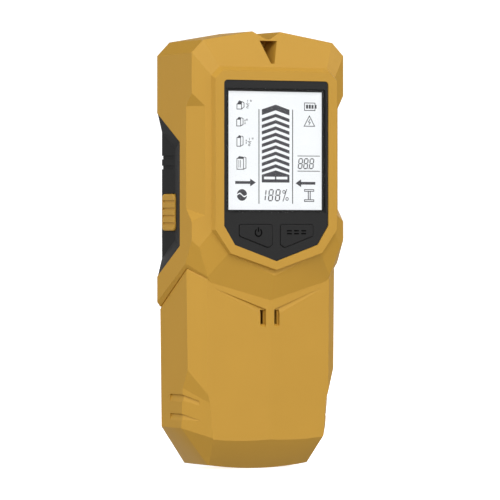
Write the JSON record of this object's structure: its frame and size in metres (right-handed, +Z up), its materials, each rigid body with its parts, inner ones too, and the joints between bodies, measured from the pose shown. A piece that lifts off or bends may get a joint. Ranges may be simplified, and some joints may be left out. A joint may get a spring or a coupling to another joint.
{
  "type": "stud finder",
  "caption": "Hand-held wall scanner with a faceted yellow shell, LCD window in a raised ring, two keys, side scan button, finger grips, marking notch, battery door and glide pads.",
  "frame": {"origin": "centre of the bounding box underside; the tool stands upright as it is used against a wall", "axes": "+X to the right of a user facing the screen, -Y out of the screen, +Y into the wall, +Z up the length towards the marking notch"},
  "size_m": [0.0642, 0.0324, 0.1589],
  "materials": {
    "yellow_shell": "fine moulded texture",
    "yellow_button": "fine moulded texture, ribbed",
    "black_panel": "satin",
    "clear_window": "clear moulded acrylic",
    "clear_adhesive": "black adhesive film",
    "lcd": "polarised display glass, pale",
    "white_plastic": "moulded",
    "light_guide": "diffusing",
    "led": "clear",
    "elastomer": "matte",
    "black_key": "satin",
    "switch_black": "moulded",
    "switch_plunger": "moulded",
    "black_grip": "soft touch",
    "circuit_board": "solder resist",
    "chip_black": "moulded",
    "capacitor_can": "sleeved",
    "copper": "plated copper",
    "bobbin_plastic": "moulded",
    "copper_wire": "enamelled wire",
    "ferrite": "sintered",
    "header_plastic": "moulded",
    "brass_disc": "rolled",
    "foam": "closed-cell foam",
    "black_cover": "fine moulded texture",
    "battery_steel": "plain sleeve over the can",
    "snap_plastic": "moulded",
    "wire_red": "insulated",
    "wire_black": "insulated",
    "felt": "pressed felt",
    "screw_steel": "zinc plated"
  },
  "bodies": {
    "case": {"backlight_leds": "led", "battery": "battery_steel", "battery_lead_black": "wire_black", "battery_lead_red": "wire_red", "battery_snap": "snap_plastic", "board_header": "header_plastic", "board_screws": "screw_steel", "buzzer": "brass_disc", "buzzer_gasket": "foam", "case_screws": "screw_steel", "coil_bobbin": "bobbin_plastic", "ferrite_core": "ferrite", "front_panel": "black_panel", "front_shell": "yellow_shell", "glide_pads": "felt", "lcd_backlight": "light_guide", "lcd_connector": "elastomer", "lcd_frame": "white_plastic", "lcd_glass": "lcd", "left_grip": "black_grip", "lens_adhesive": "clear_adhesive", "main_board": "circuit_board", "main_capacitors": "capacitor_can", "main_chips": "chip_black", "metal_coil": "copper_wire", "mode_switch": "switch_black", "power_switch": "switch_black", "rear_cover": "black_cover", "right_grip": "black_grip", "scan_switch": "switch_black", "sensing_plates": "copper", "sensor_board": "circuit_board", "sensor_chips": "chip_black", "sensor_screws": "screw_steel", "window_lens": "clear_window"},
    "power_button": {"power_key": "black_key", "power_switch_plunger": "switch_plunger"},
    "mode_button": {"mode_key": "black_key", "mode_switch_plunger": "switch_plunger"},
    "scan_trigger": {"scan_button": "yellow_button", "scan_switch_plunger": "switch_plunger"},
    "battery_hatch": {"battery_door": "black_cover", "battery_foam": "foam"}
  },
  "joints": [
    {"name": "power_press", "type": "slide", "parent": "case", "child": "power_button", "axis": [0, 1, 0], "range_m": [0, 0.0005], "stiffness_N_per_m": 2000, "springref_m": -0.0003},
    {"name": "mode_press", "type": "slide", "parent": "case", "child": "mode_button", "axis": [0, 1, 0], "range_m": [0, 0.0005], "stiffness_N_per_m": 2000, "springref_m": -0.0003},
    {"name": "scan_press", "type": "slide", "parent": "case", "child": "scan_trigger", "axis": [1, 0, 0], "range_m": [0, 0.0006], "stiffness_N_per_m": 2000, "springref_m": -0.0003},
    {"name": "hatch_hinge", "type": "hinge", "parent": "case", "child": "battery_hatch", "pos_m": [0, 0.01448, 0.0101], "axis": [-1, 0, 0], "range_deg": [0, 75]}
  ]
}
